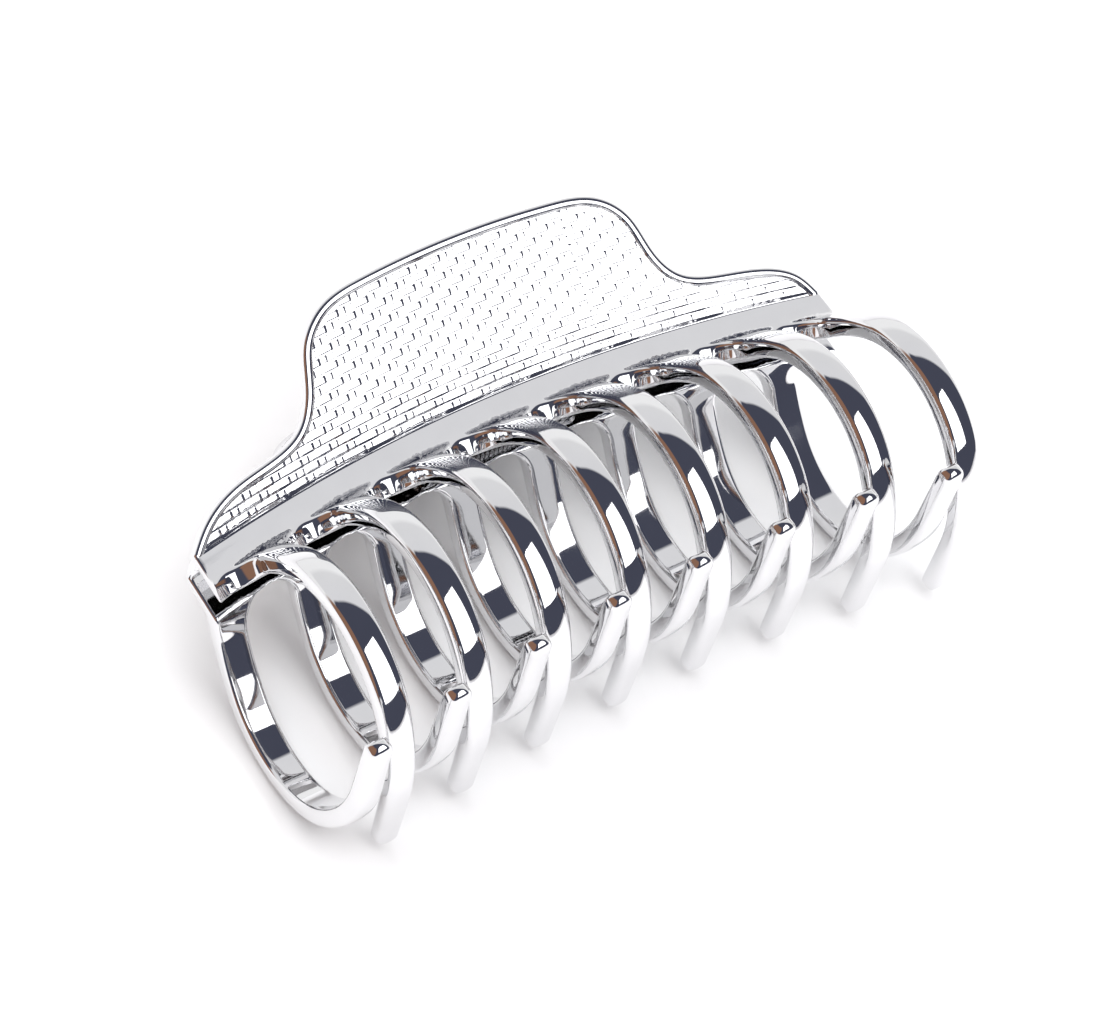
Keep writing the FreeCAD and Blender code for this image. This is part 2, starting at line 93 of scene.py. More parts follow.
# Section of the rim's bead: its width, the height of its round top, the rounding of its
# lower edges, and how deep its two ends run on into the spine.
RIM_WIDTH = 1.55
RIM_CREST = 0.52
RIM_INNER_EDGE = 0.15
RIM_OUTER_EDGE = 0.5
RIM_SINK = (1.4, 0.35)
SHOULDER_SHIFT = 0.5
PANEL_DEPTH = 0.42

# Weave that stands up from the floor of the wing's panel. The dips are how far a strand
# sinks at its ends, as a share of the weave's height.
STRAND = 1.3
CELL_STEPS = 6
WEAVE_HEIGHT = 0.12
BAR_DIP = 0.22
WARP_HEIGHT = 0.85
WARP_DIP = 0.3
WEAVE_FLOOR = 0.05
WEAVE_SHIFT = 0.35
WEAVE_START = 0.2
WEAVE_EASE = 0.25
# Grid of the panel up the wing, and how far under the rim it ends, as a share of its width.
PANEL_LOW = -0.3
PANEL_REACH = 26.0
PANEL_EDGE = 0.55

# Teeth: the middle line of one, and how it tapers.
PITCH = 14.0
TEETH = 8
STAGGER = 3.5
ROW_BOW = BOW_DROP / BOW_SPAN ** 2
DIP = math.radians(34.0)
ROOT = np.array([-3.2, 3.13])
ALONG = np.array([-math.sin(DIP), math.cos(DIP)])
NORMAL = np.array([math.cos(DIP), math.sin(DIP)])
ROOT_WALL = 3.3
ROOT_BLEND = 8.0
GAP_DROP = 4.5
# Straight and curved stretches of that line, as length and radius.
LINE = [(4.6, None), (37.0 * math.radians(12), 37.0), (16.4 * math.radians(96), 16.4),
        (27.0 * math.radians(38), 27.0), (12.0, None)]
SLIMMING = [0.0, 0.0, 0.0, 0.1, 0.7, 1.0]
SLIMMING_BLEND = 8.0
LINE_STEP = 0.02
HALF_WIDTH = 2.45
TIP_HALF_WIDTH = 1.8
THICKNESS = 3.2
TIP_THICKNESS = 2.7
TIP_ROUND = 1.9
CROWN_RISE = 0.45
CROWN_LEAD = 1.0
CROWN_FADE = 4.0
EDGE_OUTER = 0.75
EDGE_INNER = 0.6
EDGE_END = 0.4
# How far the spine runs on past the middle of the gap beyond the first tooth.
LEFT_END = 2.15
ROW_STEP = 0.5

# Where the spine's outer and inner faces are pulled to between the wing and the teeth.
OUTER_PULL = (1.0, 3.66)
OUTER_LEAD = 0.9
INNER_PULL = -1.5
INNER_LEAD = 0.25
NECK_COUNT = 200

# Hinge: knuckles of one jaw, ribs beside its spring leg, and the spring.
KNUCKLE_STARTS = (-12.9, 6.3)
KNUCKLE_WIDTH = 3.2
KNUCKLE_RADIUS = 1.8
KNUCKLE_TOP = 2.5
KNUCKLE_EDGE = 0.18
HOLE_RADIUS = 0.8
HOLE_EDGE = 0.1
RIB_GAP = 0.95
RIB_START = 8.0
RIB_LENGTH = 6.0
RIB_WIDTH = 0.7
RIB_HEIGHT = 1.2
RIB_SINK = 0.3
RIB_CORNER = 0.35
COIL_HALF = 5.2
COIL_RADIUS = 1.25
COIL_TURNS = 13
WIRE_RADIUS = 0.35
LEG_LIFT = 1.2
LEG_START = 0.6
LEG_LENGTH = 15.0

# Edges between faces that meet at more than this angle stay sharp.
SHARP_ANGLE = math.radians(48)

# How dark the duller spots of a metal are beside the bright ones.
DULLING = 0.965


def smooth(value):
    """Smooth step of a value between 0 and 1."""
    value = np.clip(value, 0.0, 1.0)
    return value * value * (3 - 2 * value)


def bowed(x, y):
    """Y of a blade point once the blade is bowed along X."""
    reach = BOW_RADIUS + y
    return np.sqrt(reach ** 2 - x ** 2) - BOW_RADIUS


def wing_point(x, t, w):
    """A point t up the wing and w out from its outer face."""
    y = FOOT[0] + UP[0] * t + OUT[0] * w
    z = FOOT[1] + UP[1] * t + OUT[1] * w
    return np.stack([x + 0 * y, bowed(x, y), z], axis=-1)


def bezier(a, b, c, d, count):
    """Points of a cubic Bezier curve."""
    t = np.linspace(0, 1, count)[:, None]
    return a * (1 - t) ** 3 + 3 * b * t * (1 - t) ** 2 + 3 * c * t ** 2 * (1 - t) + d * t ** 3


def lengths(points):
    """Distance along a polyline at each of its points."""
    steps = np.linalg.norm(np.diff(points, axis=0), axis=1)
    return np.concatenate([[0.0], np.cumsum(steps)])


def moved(point, heading, distance, radius):
    """Point and heading after a straight stretch, or after a bend of a given radius."""
    if radius is None:
        return point + distance * np.array([math.cos(heading), math.sin(heading)]), heading
    now = heading + distance / radius
    centre = point + radius * np.array([-math.sin(heading), math.cos(heading)])
    return centre + radius * np.array([math.sin(now), -math.cos(now)]), now


def tooth_profile():
    """Middle line of a tooth as rows of distance, point and outward normal, and its taper."""
    point = ROOT
    heading = math.atan2(ALONG[1], ALONG[0])
    rows = []
    start = 0.0
    stations = [0.0]
    for length, radius in LINE:
        for s in np.arange(0, length, LINE_STEP):
            here, now = moved(point, heading, s, radius)
            rows.append((start + s, here[0], here[1], math.sin(now), -math.cos(now)))
        point, heading = moved(point, heading, length, radius)
        start += length
        stations.append(start)
    rows.append((start, point[0], point[1], math.sin(heading), -math.cos(heading)))
    rows = np.array(rows)
    share = np.interp(rows[:, 0], stations, SLIMMING)
    window = int(SLIMMING_BLEND / LINE_STEP)
    padded = np.pad(share, window // 2, mode="edge")
    share = np.convolve(padded, np.ones(window) / window, mode="same")[window // 2:][:len(rows)]
    return rows, share


def claw_curves():
    """Tables along a jaw's section: p, outer point, inner point, and half width of a tooth."""
    root_top = ROOT + NORMAL * ROOT_WALL / 2
    root_under = ROOT - NORMAL * ROOT_WALL / 2
    outer_neck = bezier(FOOT, np.array(OUTER_PULL), root_top - ALONG * OUTER_LEAD, root_top,
                        NECK_COUNT)
    bend = FOOT - OUT * WING_WALL
    bend = bend - UP * (bend[1] - SPINE_INNER) / UP[1]
    under_lead = root_under[0] - ALONG[0] * INNER_LEAD
    inner_neck = bezier(bend, np.array([INNER_PULL, SPINE_INNER]),
                        np.array([under_lead, SPINE_INNER]), root_under, NECK_COUNT)
    p_neck = lengths(outer_neck)
    rows, share = tooth_profile()
    thick = THICKNESS * (1 - share) + TIP_THICKNESS * share
    thick += (ROOT_WALL - THICKNESS) * (1 - smooth(rows[:, 0] / ROOT_BLEND))
    middle = rows[:, 1:3]
    normal = rows[:, 3:5]
    p = np.concatenate([p_neck[:-1], p_neck[-1] + rows[:, 0]])
    outer = np.concatenate([outer_neck[:-1], middle + normal * thick[:, None] / 2])
    inner = np.concatenate([inner_neck[:-1], middle - normal * thick[:, None] / 2])
    half = HALF_WIDTH * (1 - share) + TIP_HALF_WIDTH * share
    half = np.concatenate([np.full(len(p_neck) - 1, HALF_WIDTH), half])
    return {"p": p, "outer": outer, "inner": inner, "half": half, "root": p_neck[-1]}


CLAW = claw_curves()
GAP_CENTRE = CLAW["root"] + GAP_DROP
GAP_RADIUS = PITCH / 2 - HALF_WIDTH
ARC_STEPS = 1 - np.cos(np.radians([0, 15, 30, 45, 60, 75, 90]))
BASE = np.concatenate([EDGE_OUTER * ARC_STEPS, [1.0, 1.35, 1.75, 2.1, HALF_WIDTH]])


def spread(total):
    """Distances from an edge to a line `total` away, close together in the edge's rounding."""
    total = np.asarray(total, float)[:, None]
    return BASE + (total - BASE[-1]) * (BASE / BASE[-1]) ** 3


def rounding(distance, radius):
    """Depth of a rounded edge at a distance from it."""
    short = np.clip(radius - distance, 0, radius)
    return radius - np.sqrt(radius ** 2 - short ** 2)


def crown(distance, width, p):
    """Depth of the convex outer face at a distance from its edge."""
    rise = CROWN_RISE * width / HALF_WIDTH
    fade = smooth((p - CLAW["root"] + CROWN_LEAD) / (GAP_DROP + CROWN_FADE))
    radius = (width ** 2 + rise ** 2) / (2 * rise)
    short = np.clip(width - distance, 0, width)
    return (radius - np.sqrt(radius ** 2 - short ** 2)) * fade


def claw_points(centre, u, p, depth, shrink=1.0):
    """Points of a jaw at (u, p), `depth` under its outer face (a share of the wall)."""
    oy = np.interp(p, CLAW["p"], CLAW["outer"][:, 0])
    oz = np.interp(p, CLAW["p"], CLAW["outer"][:, 1])
    iy = np.interp(p, CLAW["p"], CLAW["inner"][:, 0])
    iz = np.interp(p, CLAW["p"], CLAW["inner"][:, 1])
    depth = 0.5 + shrink * (depth - 0.5)
    y = oy + (iy - oy) * depth
    z = oz + (iz - oz) * depth
    x = centre + u * shrink
    held = smooth((p - CLAW["root"]) / GAP_DROP)
    y = (1 - held) * bowed(x, y) + held * (y - ROW_BOW * centre ** 2)
    return np.stack([x, y, z + 0 * x], axis=-1)


def wall_at(p):
    """Thickness of the jaw along its section."""
    gap = CLAW["outer"] - CLAW["inner"]
    return np.interp(p, CLAW["p"], np.linalg.norm(gap, axis=1))


def claw_ring(centre, side, u, p, distance, width, shrink=1.0, end_gap=None):
    """Outer and inner face of a patch, from its edge to the line that the distances reach."""
    wall = wall_at(p)
    over = crown(distance, width, p) + rounding(distance, EDGE_OUTER)
    under = rounding(distance, EDGE_INNER)
    if end_gap is not None:
        over = over + rounding(end_gap, EDGE_END)
        under = under + rounding(end_gap, EDGE_END)
    outer = claw_points(centre, side * u, p, over / wall, shrink)
    inner = claw_points(centre, side * u, p, 1 - under / wall, shrink)
    return outer, inner


def gap_fan():
    """Rays from the round head of a gap to the claw's top edge and to the tooth's middle line."""
    half = PITCH / 2
    corner = math.atan2(half, GAP_CENTRE)
    angles = np.concatenate([np.linspace(0, corner, 12), np.linspace(corner, math.pi / 2, 16)[1:]])
    reach = np.empty(len(angles))
    for index, angle in enumerate(angles):
        if angle <= corner + 1e-9:
            reach[index] = GAP_CENTRE / math.cos(angle)
        else:
            reach[index] = half / math.sin(angle)
    distance = spread(reach - GAP_RADIUS)
    radial = GAP_RADIUS + distance
    u = half - radial * np.sin(angles)[:, None]
    p = GAP_CENTRE - radial * np.cos(angles)[:, None]
    return u, p, distance, 12


def tooth_rows():
    """Distances p of the rows down a tooth, and how the rounded tip shrinks them."""
    end = CLAW["p"][-1]
    straight = np.arange(GAP_CENTRE, end - TIP_ROUND, ROW_STEP)
    angles = np.linspace(0, math.pi / 2, 9)
    tip = end - TIP_ROUND + TIP_ROUND * np.sin(angles)
    shrink = np.cos(angles)
    shrink[-1] = 0.0
    if tip[0] - straight[-1] < 0.1:
        straight = straight[:-1]
    return np.concatenate([straight, tip]), np.concatenate([np.ones(len(straight)), shrink])


class Shell:
    """Grids of points collected into one closed mesh."""

    def __init__(self):
        self.points = []
        self.faces = []
        self.count = 0

    def grid(self, points, close=False):
        """Quads over a grid of points; close joins its last column to its first."""
        rows, columns = points.shape[:2]
        index = self.count + np.arange(rows * columns).reshape(rows, columns)
        if close:
            index = np.concatenate([index, index[:, :1]], axis=1)
        quads = np.stack([index[:-1, :-1], index[:-1, 1:], index[1:, 1:], index[1:, :-1]], axis=-1)
        self.points.append(points.reshape(-1, 3))
        self.faces.append(quads.reshape(-1, 4))
        self.count += rows * columns

    def loose(self, points, faces):
        """Any points with any quads between them."""
        self.points.append(points)
        self.faces.append(faces + self.count)
        self.count += len(points)


def add_claw(shell):
    """Spine band and teeth of a jaw."""
    fan_u, fan_p, fan_d, top_rows = gap_fan()
    rows, shrink = tooth_rows()
    half = np.interp(rows, CLAW["p"], CLAW["half"])
    row_d = spread(half)
    row_u = half[:, None] - row_d
    row_p = np.repeat(rows[:, None], len(BASE), axis=1)
    middle_p = fan_p[top_rows - 1:, -1]
    end_d = np.repeat(BASE[None, :], len(middle_p), axis=0)
    for tooth in range(TEETH):
        centre = STAGGER + PITCH * (tooth - (TEETH - 1) / 2)
        for side in (-1, 1):
            outer, inner = claw_ring(centre, side, row_u, row_p, row_d, half[:, None],
                                     shrink[:, None])
            shell.grid(np.concatenate([outer[:, ::-1], inner], axis=1))
            if tooth == TEETH - 1 and side == 1:
                u = HALF_WIDTH - end_d
                p = np.repeat(middle_p[:, None], len(BASE), axis=1)
                outer, inner = claw_ring(centre, side, u, p, end_d, HALF_WIDTH)
                shell.grid(np.concatenate([outer[:, ::-1], inner], axis=1))
                shell.grid(np.stack([outer[0], inner[0]], axis=0))
                continue
            outer, inner = claw_ring(centre, side, fan_u, fan_p, fan_d, HALF_WIDTH)
            shell.grid(np.concatenate([outer[:, ::-1], inner], axis=1))
            shell.grid(np.stack([outer[:top_rows, -1], inner[:top_rows, -1]], axis=1))
            if tooth == 0 and side == -1:
                past = LEFT_END - np.concatenate([[LEFT_END, 1.7, 1.25, 0.8],
                                                  EDGE_END * ARC_STEPS[::-1]])
                rise = GAP_CENTRE - np.sqrt(GAP_RADIUS ** 2 - past ** 2)
                p = rise[:, None] - spread(rise)
                u = np.repeat(PITCH / 2 + past[:, None], len(BASE), axis=1)
                radial = np.sqrt(past[:, None] ** 2 + (GAP_CENTRE - p) ** 2) - GAP_RADIUS
                end_gap = np.repeat(LEFT_END - past[:, None], len(BASE), axis=1)
                outer, inner = claw_ring(centre, side, u, p, radial, HALF_WIDTH, end_gap=end_gap)
                shell.grid(np.concatenate([outer[:, ::-1], inner], axis=1))
                shell.grid(np.stack([outer[:, -1], inner[:, -1]], axis=1))
                shell.grid(np.stack([outer[-1], inner[-1]], axis=0))


def spline(points, count):
    """A natural cubic spline through points, spaced by their distances."""
    points = np.asarray(points, float)
    t = lengths(points)
    h = np.diff(t)
    n = len(points)
    a = np.eye(n)
    b = np.zeros((n, 2))
    for i in range(1, n - 1):
        a[i, i - 1:i + 2] = h[i - 1], 2 * (h[i - 1] + h[i]), h[i]
        b[i] = 6 * ((points[i + 1] - points[i]) / h[i] - (points[i] - points[i - 1]) / h[i - 1])
    m = np.linalg.solve(a, b)
    at = np.linspace(0, t[-1], count)
    i = np.clip(np.searchsorted(t, at) - 1, 0, n - 2)
    left = (t[i + 1] - at)[:, None]
    right = (at - t[i])[:, None]
    step = h[i][:, None]
    return ((m[i] * left ** 3 + m[i + 1] * right ** 3) / (6 * step)
            + (points[i] / step - m[i] * step / 6) * left
            + (points[i + 1] / step - m[i + 1] * step / 6) * right)


def rim_line():
    """The wing's free edge as (x, t) points, from the left end over the top to the right."""
    right = [(x * HALF_LENGTH, y * WING_LENGTH) for x, y in RIM_POINTS]
    left = [(-x, y) for x, y in reversed(right)]
    right[:-1] = [(x + SHOULDER_SHIFT, y) for x, y in right[:-1]]
    left[1:] = [(x + SHOULDER_SHIFT, y) for x, y in left[1:]]
    line = spline(left + [(0.0, WING_LENGTH)] + right, RIM_COUNT)
    x = line[:, 0]
    t = line[:, 1].copy()
    # The line is given before the wing is bowed, so t is corrected until the bow fits it.
    for _ in range(4):
        y = FOOT[0] + UP[0] * t
        t = line[:, 1] + (y - bowed(x, y)) * UP[0]
    return np.stack([x, t], axis=1)


RIM = rim_line()


def add_rim(shell):
    """Raised bead round the wing's free edge, its two ends sunk into the spine."""
    down = np.array([0.0, -1.0])[None, :]
    deep, shallow = RIM_SINK
    first = RIM[0] + down * np.linspace(deep, shallow, 4)[:, None]
    last = RIM[-1] + down * np.linspace(shallow, deep, 4)[:, None]
    line = np.concatenate([first, RIM, last])
    along = np.gradient(line, axis=0)
    along /= np.linalg.norm(along, axis=1)[:, None]
    inward = np.stack([along[:, 1], -along[:, 0]], axis=1)
    loop = []
    crest = RIM_WIDTH / 2
    foot = -WING_WALL
    corners = [(crest, -RIM_CREST, crest, RIM_CREST, 90, 0),
               (RIM_WIDTH - RIM_INNER_EDGE, foot + RIM_INNER_EDGE, RIM_INNER_EDGE, RIM_INNER_EDGE,
                0, -90),
               (RIM_OUTER_EDGE, foot + RIM_OUTER_EDGE, RIM_OUTER_EDGE, RIM_OUTER_EDGE, -90, -180),
               (crest, -RIM_CREST, crest, RIM_CREST, -180, -270)]
    for v, w, radius, tall, start, stop in corners:
        for angle in np.radians(np.linspace(start, stop, 9)):
            loop.append((v + radius * math.cos(angle), w + tall * math.sin(angle)))
    loop = np.array(loop)
    v = loop[None, :, 0]
    x = line[:, :1] + inward[:, :1] * v
    t = line[:, 1:] + inward[:, 1:] * v
    w = np.repeat(loop[None, :, 1], len(line), axis=0)
    tube = wing_point(x, t, w)
    middle = tube.mean(axis=1, keepdims=True)
    tube = np.concatenate([np.repeat(middle[:1], tube.shape[1], axis=1), tube,
                           np.repeat(middle[-1:], tube.shape[1], axis=1)])
    shell.grid(tube, close=True)


def weave(x, t):
    """Height of the woven relief: long weft bars over pairs of short warp strands."""
    row = np.floor(t / STRAND)
    v = np.abs(t / STRAND - row - 0.5) * 2
    across = x / STRAND + 2 * (row % 2)
    block = np.floor(across / 2)
    bar = np.abs(across - 2 * block - 1)
    strand = np.abs(across - np.floor(across) - 0.5) * 2
    weft = (1 - v ** 4) * (1 - BAR_DIP * bar ** 8)
    warp = (1 - v ** 4) * (WARP_HEIGHT - WARP_DIP * strand ** 4)
    return WEAVE_HEIGHT * np.where(block % 2 == 0, weft, warp)


def add_panel(shell):
    """Woven panel inside the rim; its stepped edge is hidden in the rim."""
    step = STRAND / CELL_STEPS
    columns = int(HALF_LENGTH / step)
    x = np.arange(-columns, columns + 1) * step
    rows = int(PANEL_REACH / step)
    t = PANEL_LOW + np.arange(rows + 1) * step
    # Distance to the rim decides which cells of the grid are kept.
    mid_x = (x[:-1] + x[1:]) / 2
    mid_t = (t[:-1] + t[1:]) / 2
    gx, gt = np.meshgrid(mid_x, mid_t, indexing="ij")
    flat = np.stack([gx.ravel(), gt.ravel()], axis=1)
    gap = np.full(len(flat), 1e9)
    for start in range(len(RIM) - 1):
        a = RIM[start]
        b = RIM[start + 1] - a
        share = np.clip(((flat - a) @ b) / (b @ b), 0, 1)
        gap = np.minimum(gap, np.hypot(*(flat - a - share[:, None] * b).T))
    inside = flat[:, 1] < np.interp(flat[:, 0], RIM[:, 0], RIM[:, 1])
    keep = (inside & (gap > RIM_WIDTH * PANEL_EDGE)).reshape(gx.shape)
    nx, nt = len(x), len(t)
    px, pt = np.meshgrid(x, t, indexing="ij")
    relief = weave(px, pt - WEAVE_SHIFT)
    ease = smooth((pt - WEAVE_START) / WEAVE_EASE)
    outer = wing_point(px, pt, -PANEL_DEPTH - WEAVE_FLOOR + relief * ease)
    inner = wing_point(px, pt, np.full(px.shape, -WING_WALL))
    index = np.arange(nx * nt).reshape(nx, nt)
    i, j = np.nonzero(keep)
    quads = np.stack([index[i, j], index[i + 1, j], index[i + 1, j + 1], index[i, j + 1]], axis=1)
    under = quads[:, ::-1] + nx * nt
    walls = []
    padded = np.pad(keep, 1)
    for di, dj, a, b in ((-1, 0, (0, 0), (0, 1)), (1, 0, (1, 1), (1, 0)),
                         (0, -1, (1, 0), (0, 0)), (0, 1, (0, 1), (1, 1))):
        edge = keep & ~padded[1 + di:1 + di + keep.shape[0], 1 + dj:1 + dj + keep.shape[1]]
        i, j = np.nonzero(edge)
        p = index[i + a[0], j + a[1]]
        q = index[i + b[0], j + b[1]]
        walls.append(np.stack([p, q, q + nx * nt, p + nx * nt], axis=1))
    faces = np.concatenate([quads, under] + walls)
    points = np.concatenate([outer.reshape(-1, 3), inner.reshape(-1, 3)])
    used, faces = np.unique(faces, return_inverse=True)
    shell.loose(points[used], faces.reshape(-1, 4))


def finish_mesh(name, shell, turned, material):
    """One object from a shell, put in its place; a turned one belongs to the back jaw."""
    points = np.concatenate(shell.points)
    if turned:
        points = points * np.array([-1.0, 1.0, -1.0])
    points = points * MM + HINGE
    faces = np.concatenate(shell.faces)
    mesh = bpy.data.meshes.new(name)
    mesh.from_pydata(points.tolist(), [], faces.tolist())
    work = bmesh.new()
    work.from_mesh(mesh)
    bmesh.ops.remove_doubles(work, verts=work.verts, dist=2e-7)
    bmesh.ops.dissolve_degenerate(work, edges=work.edges, dist=1e-8)
    bmesh.ops.recalc_face_normals(work, faces=work.faces)
    open_edges = sum(1 for edge in work.edges if not edge.is_manifold)
    print(name, "faces", len(work.faces), "open edges", open_edges)
    work.to_mesh(mesh)
    work.free()
    mesh.shade_smooth()
    mesh.set_sharp_from_angle(angle=SHARP_ANGLE)
    mesh.materials.append(material)
    obj = bpy.data.objects.new(name, mesh)
    bpy.context.scene.collection.objects.link(obj)
    return obj


def add_lug(shell, start):
    """Hinge knuckle: a round ear with the pin's hole, on a web that comes out of the spine."""
    count = 64
    angles = np.linspace(0, 2 * math.pi, count, endpoint=False)
    direction = np.stack([np.cos(angles), np.sin(angles)], axis=1)
    outline = np.full(count, KNUCKLE_RADIUS)
    up = direction[:, 1] > 0
    top = KNUCKLE_TOP / np.maximum(direction[:, 1], 1e-6)
    side = KNUCKLE_RADIUS / np.maximum(np.abs(direction[:, 0]), 1e-6)
    outline[up] = np.maximum(KNUCKLE_RADIUS, np.minimum(top, side)[up])
    edge = KNUCKLE_EDGE
    end = start + KNUCKLE_WIDTH
    turns = np.linspace(0, math.pi / 2, 5)
    rings = [(start, outline - edge)]
    for turn in turns[1:]:
        rings.append((start + edge * (1 - math.cos(turn)), outline - edge * (1 - math.sin(turn))))
    for turn in turns[::-1][:-1]:
        rings.append((end - edge * (1 - math.cos(turn)), outline - edge * (1 - math.sin(turn))))
    rings.append((end, outline - edge))
    rings.append((end, np.full(count, HOLE_RADIUS + HOLE_EDGE)))
    rings.append((end - HOLE_EDGE, np.full(count, HOLE_RADIUS)))
    rings.append((start + HOLE_EDGE, np.full(count, HOLE_RADIUS)))
    rings.append((start, np.full(count, HOLE_RADIUS + HOLE_EDGE)))
    rings.append(rings[0])
    grid = []
    for x, radius in rings:
        circle = direction * radius[:, None]
        grid.append(np.concatenate([np.full((count, 1), x), circle], axis=1))
    shell.grid(np.array(grid), close=True)


def add_rib(shell, x):
    """Small rounded rib on the wing's inner face."""
    count = 24
    angles = np.linspace(0, 2 * math.pi, count, endpoint=False)
    across = np.sign(np.cos(angles)) * np.abs(np.cos(angles)) ** RIB_CORNER
    upward = np.sign(np.sin(angles)) * np.abs(np.sin(angles)) ** RIB_CORNER
    # Depth of each ring under the rib's root, and its size as a share of the rib's.
    levels = [(0.0, 0.0), (0.0, 1.0), (RIB_HEIGHT - 0.2, 1.0), (RIB_HEIGHT - 0.06, 0.93),
              (RIB_HEIGHT, 0.75), (RIB_HEIGHT, 0.0)]
    grid = []
    top = -WING_WALL + RIB_SINK
    middle = RIB_START + RIB_LENGTH / 2
    for depth, share in levels:
        px = x + across * RIB_WIDTH / 2 * share
        narrowing = 1 - (1 - share) * RIB_WIDTH / RIB_LENGTH
        pt = middle + upward * RIB_LENGTH / 2 * narrowing
        if share == 0.0:
            pt = np.full(count, middle)
        grid.append(wing_point(px, pt, np.full(count, top - depth)))
    shell.grid(np.array(grid), close=True)


def make_jaw(label, turned, body, chrome, woven):
    """Every piece of one jaw."""
    claw = Shell()
    add_claw(claw)
    claw = finish_mesh(label + "_claw", claw, turned, chrome)
    rim = Shell()
    add_rim(rim)
    rim = finish_mesh(label + "_rim", rim, turned, chrome)
    panel = Shell()
    add_panel(panel)
    panel = finish_mesh(label + "_panel", panel, turned, woven)
    lugs = Shell()
    for start in KNUCKLE_STARTS:
        add_lug(lugs, start)
    add_rib(lugs, -COIL_HALF - RIB_GAP)
    add_rib(lugs, -COIL_HALF + RIB_GAP)
    lugs = finish_mesh(label + "_knuckles", lugs, turned, chrome)
    for piece in (claw, rim, panel, lugs):
        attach(piece, body)
        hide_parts(label)


def make_spring(material):
    """Torsion spring: front leg, left-handed coil round the pin, back leg."""
    coil = COIL_RADIUS
    half = COIL_HALF
    rise = FLARE + math.radians(LEG_LIFT)
    leg = np.array([math.cos(rise), math.sin(rise)])
    base = np.array([math.sin(rise), -math.cos(rise)]) * coil
    first = math.atan2(base[1], base[0])
    turns = COIL_TURNS + 2 * first / (2 * math.pi)
    path = []
    for s in np.linspace(LEG_LENGTH, LEG_START, 12):
        path.append((-half, base[0] + leg[0] * s, base[1] + leg[1] * s))
    count = int(turns * 28)
    for share in np.linspace(0, 1, count):
        angle = first - share * turns * 2 * math.pi
        path.append((-half + 2 * half * share, coil * math.cos(angle), coil * math.sin(angle)))
    for s in np.linspace(LEG_START, LEG_LENGTH, 12):
        path.append((half, base[0] + leg[0] * s, -base[1] - leg[1] * s))
    path = np.array(path)
    along = np.gradient(path, axis=0)
    along /= np.linalg.norm(along, axis=1)[:, None]
    side = np.array([1.0, 0.0, 0.0]) - along * along[:, :1]
    side /= np.linalg.norm(side, axis=1)[:, None]
    other = np.cross(along, side)
    angles = np.linspace(0, 2 * math.pi, 14, endpoint=False)
    ring = (np.cos(angles)[None, :, None] * side[:, None, :]
            + np.sin(angles)[None, :, None] * other[:, None, :])
    tube = path[:, None, :] + ring * WIRE_RADIUS
    caps = []
    for end, sign in ((0, -1), (-1, 1)):
        for back, share in ((0.07, 0.85), (0.1, 0.5), (0.1, 0.0)):
            centre = path[end] + along[end] * back * sign
            caps.append(centre[None, :] + ring[end] * WIRE_RADIUS * share)
    tube = np.concatenate([np.array(caps[:3])[::-1], tube, np.array(caps[3:])])
    shell = Shell()
    shell.grid(tube, close=True)
    spring = finish_mesh("coil_spring", shell, False, material)
    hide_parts("torsion_spring")
    end = Vector(HINGE - np.array([half * MM, 0, 0]))
    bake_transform(spring)


class Nodes:
    """Short hand for building a node tree."""

    def __init__(self, tree):
        self.tree = tree
        tree.nodes.clear()

    def add(self, kind, **values):
        """A new node; values go to its settings or to the sockets of the same names."""
        node = self.tree.nodes.new(kind)
        for key, value in values.items():
            if key in ("operation", "data_type"):
                setattr(node, key, value)
            else:
                node.inputs[key.replace("_", " ")].default_value = value
        return node

    def link(self, a, b):
        """Join an output socket to an input socket."""
        self.tree.links.new(a, b)


